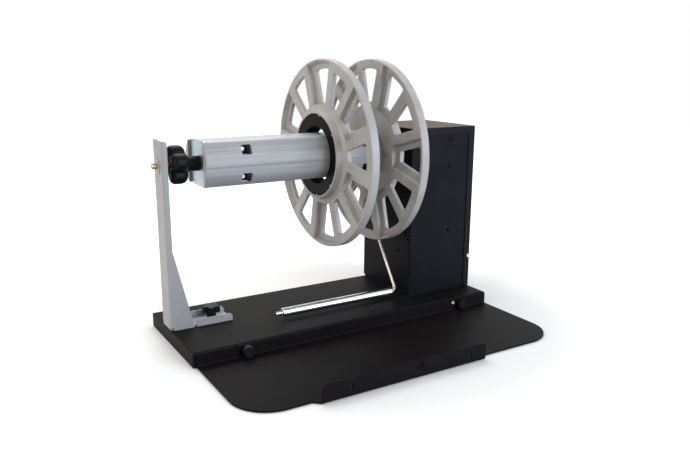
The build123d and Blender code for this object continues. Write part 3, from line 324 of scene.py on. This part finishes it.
# ------------------------------------------------------------------ flanges
# Two spoked mouldings of warm light grey plastic, satin on the faces. The outer one slides on the
# core holder on a black ring that is snapped into its collar.
FLANGE_DARK = (0.39, 0.37, 0.35)
FLANGE_LIGHT = (0.47, 0.45, 0.425)
RING_DARK = (0.004, 0.0035, 0.003)
RING_LIGHT = (0.007, 0.006, 0.005)
flange_grey = moulded_plastic("flange_grey", FLANGE_DARK, FLANGE_LIGHT, roughness=0.42)
insert_black = moulded_plastic("insert_black", RING_DARK, RING_LIGHT, roughness=0.50, shine=0.06)
dress(flange_grey, "outer_flange", "inner_flange")
dress(insert_black, "outer_flange_insert")


# ------------------------------------------------------------------ core holder
# Two ribbed shells of satin anodised aluminium on an extruded box, with a zinc plated plate riveted
# in its left end. The lower part of each shell has a fine diagonal ribbing, bumped, with painted
# shade darkening the colour along its ribs.
SHELL_DARK = (0.27, 0.27, 0.275)
SHELL_LIGHT = (0.46, 0.455, 0.46)
FRAME_DARK = (0.46, 0.47, 0.50)
FRAME_LIGHT = (0.56, 0.57, 0.60)
END_DARK = (0.36, 0.42, 0.46)
END_LIGHT = (0.50, 0.57, 0.62)
SHELL_STREAK = 0.006
SHELL_EDGE = 0.0003
WAVE_OF_SCALE_ONE = 0.628
RIB_PITCH = 0.0034
RIB_LEAN = 1.6
RIBS_START = 0.214
RIBS_FULL = 0.208
RIB_SHADE = 0.6


def ribbed_shell():
    material, nodes, links, shader = node_material("shell_aluminium")
    place = surface_place(nodes, links, (0.05, 1, 1))
    shader.inputs["Roughness"].default_value = 0.45
    shader.inputs["Specular IOR Level"].default_value = 0.30
    waves = nodes.new("ShaderNodeTexWave")
    waves.bands_direction = "DIAGONAL"
    waves.inputs["Scale"].default_value = WAVE_OF_SCALE_ONE / RIB_PITCH
    links.new(surface_place(nodes, links, (1, 0, RIB_LEAN)), waves.inputs["Vector"])
    parts = nodes.new("ShaderNodeSeparateXYZ")
    links.new(surface_place(nodes, links), parts.inputs["Vector"])
    low = span_node(nodes, links, parts.outputs["Z"], 0.0, 1.0, RIBS_START, RIBS_FULL)
    height = math_node(nodes, links, "MULTIPLY", waves.outputs["Fac"], low)
    streaks = cloud(nodes, links, place, SHELL_STREAK, 3.0)
    # Painted shade: the ribs darken the shell's colour as well as bumping it.
    painted_rib_shade = math_node(nodes, links, "MULTIPLY", height, RIB_SHADE)
    shade = math_node(nodes, links, "SUBTRACT", streaks, painted_rib_shade)
    tone = two_tone(nodes, links, shade, SHELL_DARK, SHELL_LIGHT, start=0.1, end=0.7)
    links.new(tone, shader.inputs["Base Color"])
    raised(nodes, links, shader, height, 0.6, 0.0004, SHELL_EDGE)
    return material


dress(ribbed_shell(), "front_shell", "rear_shell")
frame_aluminium = moulded_plastic("frame_aluminium", FRAME_DARK, FRAME_LIGHT, roughness=0.36, shine=0.6)
bright_zinc = plated_metal("bright_zinc", END_DARK, END_LIGHT, roughness=0.42)
dress(frame_aluminium, "core_frame")
dress(bright_zinc, "end_plate", "end_plate_rivets")


# ------------------------------------------------------------------ expander
# Dark anodised wedges and pads, screwed to two aluminium carriages that two steel rods tie
# together. They show only through the shells' windows, with their bright screws.
WEDGE_DARK = (0.020, 0.020, 0.022)
WEDGE_LIGHT = (0.035, 0.035, 0.038)
dark_wedge = plated_metal("wedge_black", WEDGE_DARK, WEDGE_LIGHT, roughness=0.35)
dress(dark_wedge, "wedges", "front_ramp_pads", "rear_ramp_pads")
dress(cast_metal, "threaded_carriage", "plain_carriage")
dress(zinc, "wedge_screws", "carriage_rods")


# ------------------------------------------------------------------ expansion knob
# Four-lobed knob of black plastic, moulded with its stem round the steel lead screw, which turns
# in the end plate and draws the carriages.
KNOB_DARK = (0.0035, 0.0035, 0.004)
KNOB_LIGHT = (0.006, 0.006, 0.0065)
dress(moulded_plastic("knob_black", KNOB_DARK, KNOB_LIGHT, roughness=0.42, shine=0.10), "expansion_knob")
dress(ground_steel, "lead_screw")


# ------------------------------------------------------------------ crank
# Zinc plated steel arm with a turned boss, bolted to the shaft's end, and a turned black grip that
# spins on a shoulder pin.
GRIP_DARK = (0.010, 0.010, 0.010)
GRIP_LIGHT = (0.018, 0.018, 0.018)
dress(zinc, "crank_arm", "crank_bolt", "crank_grip_pin")
dress(moulded_plastic("grip_black", GRIP_DARK, GRIP_LIGHT, roughness=0.34), "crank_grip")


# ------------------------------------------------------------------ support column
# Folded steel channel on a slotted foot, powder coated light grey, with a grey flanged bush for
# the spindle's pin.
COLUMN_DARK = (0.33, 0.325, 0.325)
COLUMN_LIGHT = (0.37, 0.365, 0.365)
BUSH_DARK = (0.36, 0.35, 0.35)
BUSH_LIGHT = (0.44, 0.43, 0.43)
column_grey = powder_coat("column_grey", COLUMN_DARK, COLUMN_LIGHT, roughness=0.42, shine=0.45, strength=0.15)
dress(column_grey, "support_column")
dress(moulded_plastic("bush_grey", BUSH_DARK, BUSH_LIGHT, roughness=0.45), "column_bush")


# ------------------------------------------------------------------ clamp knob
# Five-lobed black plastic knob moulded on a zinc plated stud, with a washer that grips the
# column's foot.
dress(thumb_black, "foot_knob")
dress(zinc, "foot_stud")


# ------------------------------------------------------------------ tension arm and roller
# One bent rod, nickel plated, clamped in a turned hub on a steel pivot. It is the axle of a
# polished steel tube on plastic bushes. A lever and a spring sit behind the tower's wall.
ROLLER_DARK = (0.74, 0.75, 0.79)
ROLLER_LIGHT = (0.88, 0.89, 0.93)
NICKEL_DARK = (0.46, 0.42, 0.37)
NICKEL_LIGHT = (0.62, 0.58, 0.53)
BRONZE_DARK = (0.34, 0.24, 0.13)
BRONZE_LIGHT = (0.48, 0.36, 0.20)
roller_steel = plated_metal("roller_steel", ROLLER_DARK, ROLLER_LIGHT, roughness=0.16, along=(0.15, 1, 1))
rod_nickel = plated_metal("rod_nickel", NICKEL_DARK, NICKEL_LIGHT, roughness=0.20, along=(0.3, 1, 1))
dress(roller_steel, "roller_tube")
dress(rod_nickel, "arm_rod", "arm_hub")
dress(ground_steel, "arm_pivot", "arm_spring")
dress(zinc, "arm_clips", "arm_lever", "arm_stops")
dress(thumb_black, "roller_bushes")
dress(plated_metal("bronze", BRONZE_DARK, BRONZE_LIGHT, roughness=0.38), "arm_bush")


# ------------------------------------------------------------------ camera
# It stands in front and to the left, a little above the spindle, and looks down on the tray.
LOOK_RIGHT = 31.36
LOOK_DOWN = 13.52
ROLL = 0.3
LENS = 36.56
SENSOR = 36.0
NEAREST = 0.01
FARTHEST = 50.0
STAND = (-0.5074, -0.7712, 0.3494)


def camera():
    turn = radians(LOOK_RIGHT)
    drop = radians(LOOK_DOWN)
    forward = Vector((sin(turn) * cos(drop), cos(turn) * cos(drop), -sin(drop)))
    level = Vector((cos(turn), -sin(turn), 0))
    upright = level.cross(forward)
    right = cos(radians(ROLL)) * level + sin(radians(ROLL)) * upright
    up = cos(radians(ROLL)) * upright - sin(radians(ROLL)) * level
    data = bpy.data.cameras.new("camera")
    data.lens = LENS
    data.sensor_width = SENSOR
    data.clip_start = NEAREST
    data.clip_end = FARTHEST
    body = bpy.data.objects.new("camera", data)
    bpy.context.scene.collection.objects.link(body)
    body.matrix_world = Matrix.Translation(STAND) @ Matrix((right, up, -forward)).transposed().to_4x4()
    bpy.context.scene.camera = body


camera()
bpy.context.scene.view_settings.view_transform = "Standard"
